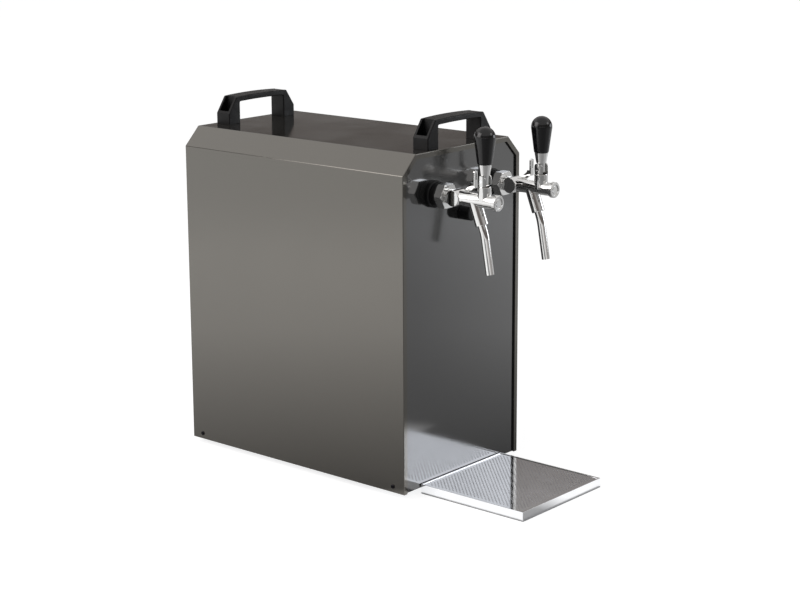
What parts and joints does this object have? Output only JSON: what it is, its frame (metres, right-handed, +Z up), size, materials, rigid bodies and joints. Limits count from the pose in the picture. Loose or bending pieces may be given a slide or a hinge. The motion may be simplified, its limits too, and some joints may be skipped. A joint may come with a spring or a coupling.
{
  "type": "two-tap beer cooler",
  "caption": "Upright over-counter dry beer cooler with bevelled steel cabinet, chrome lever taps, carrying handles and a separate perforated drip tray.",
  "frame": {"origin": "on the table, under the middle of the cabinet", "axes": "+Z up, the taps face -Y, +X to the right of someone facing the taps"},
  "size_m": [0.2432, 0.5892, 0.4856],
  "materials": {
    "cover_paint": "satin powder coat",
    "panel_paint": "gloss enamel",
    "black_plastic": "moulded satin",
    "grip_plastic": "polished",
    "chrome": "polished plate",
    "stainless": "bright",
    "zinc_steel": "galvanised",
    "black_steel": "black zinc",
    "compressor_paint": "black paint",
    "rubber": "moulded",
    "foam": "foamed plastic",
    "aluminium": "cast",
    "copper": "drawn tube",
    "white_plastic": "moulded"
  },
  "bodies": {
    "cabinet": {"cover_shell": "cover_paint", "front_panel": "panel_paint", "rear_panel": "cover_paint", "base_pan": "zinc_steel", "cabinet_screws": "black_steel", "rubber_feet": "rubber", "front_handle": "black_plastic", "rear_handle": "black_plastic", "handle_screws": "black_steel", "inner_frame": "zinc_steel", "insulation_case": "foam", "insulation_lid": "foam", "cooling_block": "aluminium", "evaporator_tube": "copper", "compressor_can": "compressor_paint", "compressor_motor": "zinc_steel", "compressor_grommets": "rubber", "compressor_bolts": "zinc_steel", "start_relay": "white_plastic", "condenser_tube": "copper", "condenser_fins": "aluminium", "discharge_line": "copper", "suction_line": "copper", "filter_drier": "copper", "capillary_tube": "copper", "fan_shroud": "black_plastic", "fan_motor": "zinc_steel", "thermostat": "white_plastic", "power_inlet": "black_plastic", "shank_back_nuts": "zinc_steel", "lever_pins": "stainless", "beer_coil_left": "stainless", "beer_coil_right": "stainless", "shank_left": "stainless", "shank_right": "stainless", "shank_flange_left": "black_plastic", "shank_flange_right": "black_plastic", "coupling_nut_left": "chrome", "coupling_nut_right": "chrome", "tap_body_left": "chrome", "tap_body_right": "chrome", "spout_left": "chrome", "spout_right": "chrome", "inlet_fitting_left": "stainless", "inlet_fitting_right": "stainless"},
    "tap_lever_left": {"tap_lever_left": "chrome", "lever_grip_left": "grip_plastic"},
    "tap_lever_right": {"tap_lever_right": "chrome", "lever_grip_right": "grip_plastic"},
    "compensator_left": {"compensator_lever_left": "chrome"},
    "compensator_right": {"compensator_lever_right": "chrome"},
    "plunger_left": {"valve_plunger_left": "stainless"},
    "plunger_right": {"valve_plunger_right": "stainless"},
    "cone_left": {"compensator_cone_left": "white_plastic"},
    "cone_right": {"compensator_cone_right": "white_plastic"},
    "knob": {"thermostat_knob": "black_plastic"},
    "fan": {"fan_blades": "black_plastic"},
    "rocker": {"rocker_switch": "grip_plastic"},
    "tray": {"drip_tray": "stainless"},
    "grille": {"drip_grille": "stainless"}
  },
  "joints": [
    {"name": "pour_lever_left", "type": "hinge", "parent": "cabinet", "child": "tap_lever_left", "pos_m": [-0.05875, -0.2755, 0.4175], "axis": [1, 0, 0], "range_deg": [-15, 42]},
    {"name": "compensator_turn_left", "type": "hinge", "parent": "cabinet", "child": "compensator_left", "pos_m": [-0.05875, -0.2315, 0.3917], "axis": [1, 0, 0], "range_deg": [0, 50]},
    {"name": "plunger_slide_left", "type": "slide", "parent": "cabinet", "child": "plunger_left", "axis": [0, 1, 0], "range_m": [-0.0013, 0.0035]},
    {"name": "cone_slide_left", "type": "slide", "parent": "cabinet", "child": "cone_left", "axis": [0, -1, 0], "range_m": [0, 0.004]},
    {"name": "pour_lever_right", "type": "hinge", "parent": "cabinet", "child": "tap_lever_right", "pos_m": [0.05875, -0.2755, 0.4175], "axis": [1, 0, 0], "range_deg": [-15, 42]},
    {"name": "compensator_turn_right", "type": "hinge", "parent": "cabinet", "child": "compensator_right", "pos_m": [0.05875, -0.2315, 0.3917], "axis": [1, 0, 0], "range_deg": [0, 50]},
    {"name": "plunger_slide_right", "type": "slide", "parent": "cabinet", "child": "plunger_right", "axis": [0, 1, 0], "range_m": [-0.0013, 0.0035]},
    {"name": "cone_slide_right", "type": "slide", "parent": "cabinet", "child": "cone_right", "axis": [0, -1, 0], "range_m": [0, 0.004]},
    {"name": "thermostat_turn", "type": "hinge", "parent": "cabinet", "child": "knob", "pos_m": [0, -0.1925, 0.359], "axis": [0, 1, 0], "range_deg": [0, 270]},
    {"name": "fan_spin", "type": "hinge", "parent": "cabinet", "child": "fan", "pos_m": [0, 0.1432, 0.291], "axis": [0, 1, 0], "continuous": true},
    {"name": "rocker_tip", "type": "hinge", "parent": "cabinet", "child": "rocker", "pos_m": [0.055, 0.1925, 0.082], "axis": [1, 0, 0], "range_deg": [0, 16]},
    {"name": "tray_pull", "type": "slide", "parent": "cabinet", "child": "tray", "axis": [0, -1, 0], "range_m": [0, 0.15]},
    {"name": "grille_lift", "type": "slide", "parent": "tray", "child": "grille", "axis": [0, 0, 1], "range_m": [0, 0.05]}
  ],
  "couplings": [
    {"joint": "plunger_slide_left", "follows": "pour_lever_left", "m_per_rad": 0.0047},
    {"joint": "cone_slide_left", "follows": "compensator_turn_left", "m_per_rad": 0.0045},
    {"joint": "plunger_slide_right", "follows": "pour_lever_right", "m_per_rad": 0.0047},
    {"joint": "cone_slide_right", "follows": "compensator_turn_right", "m_per_rad": 0.0045}
  ]
}
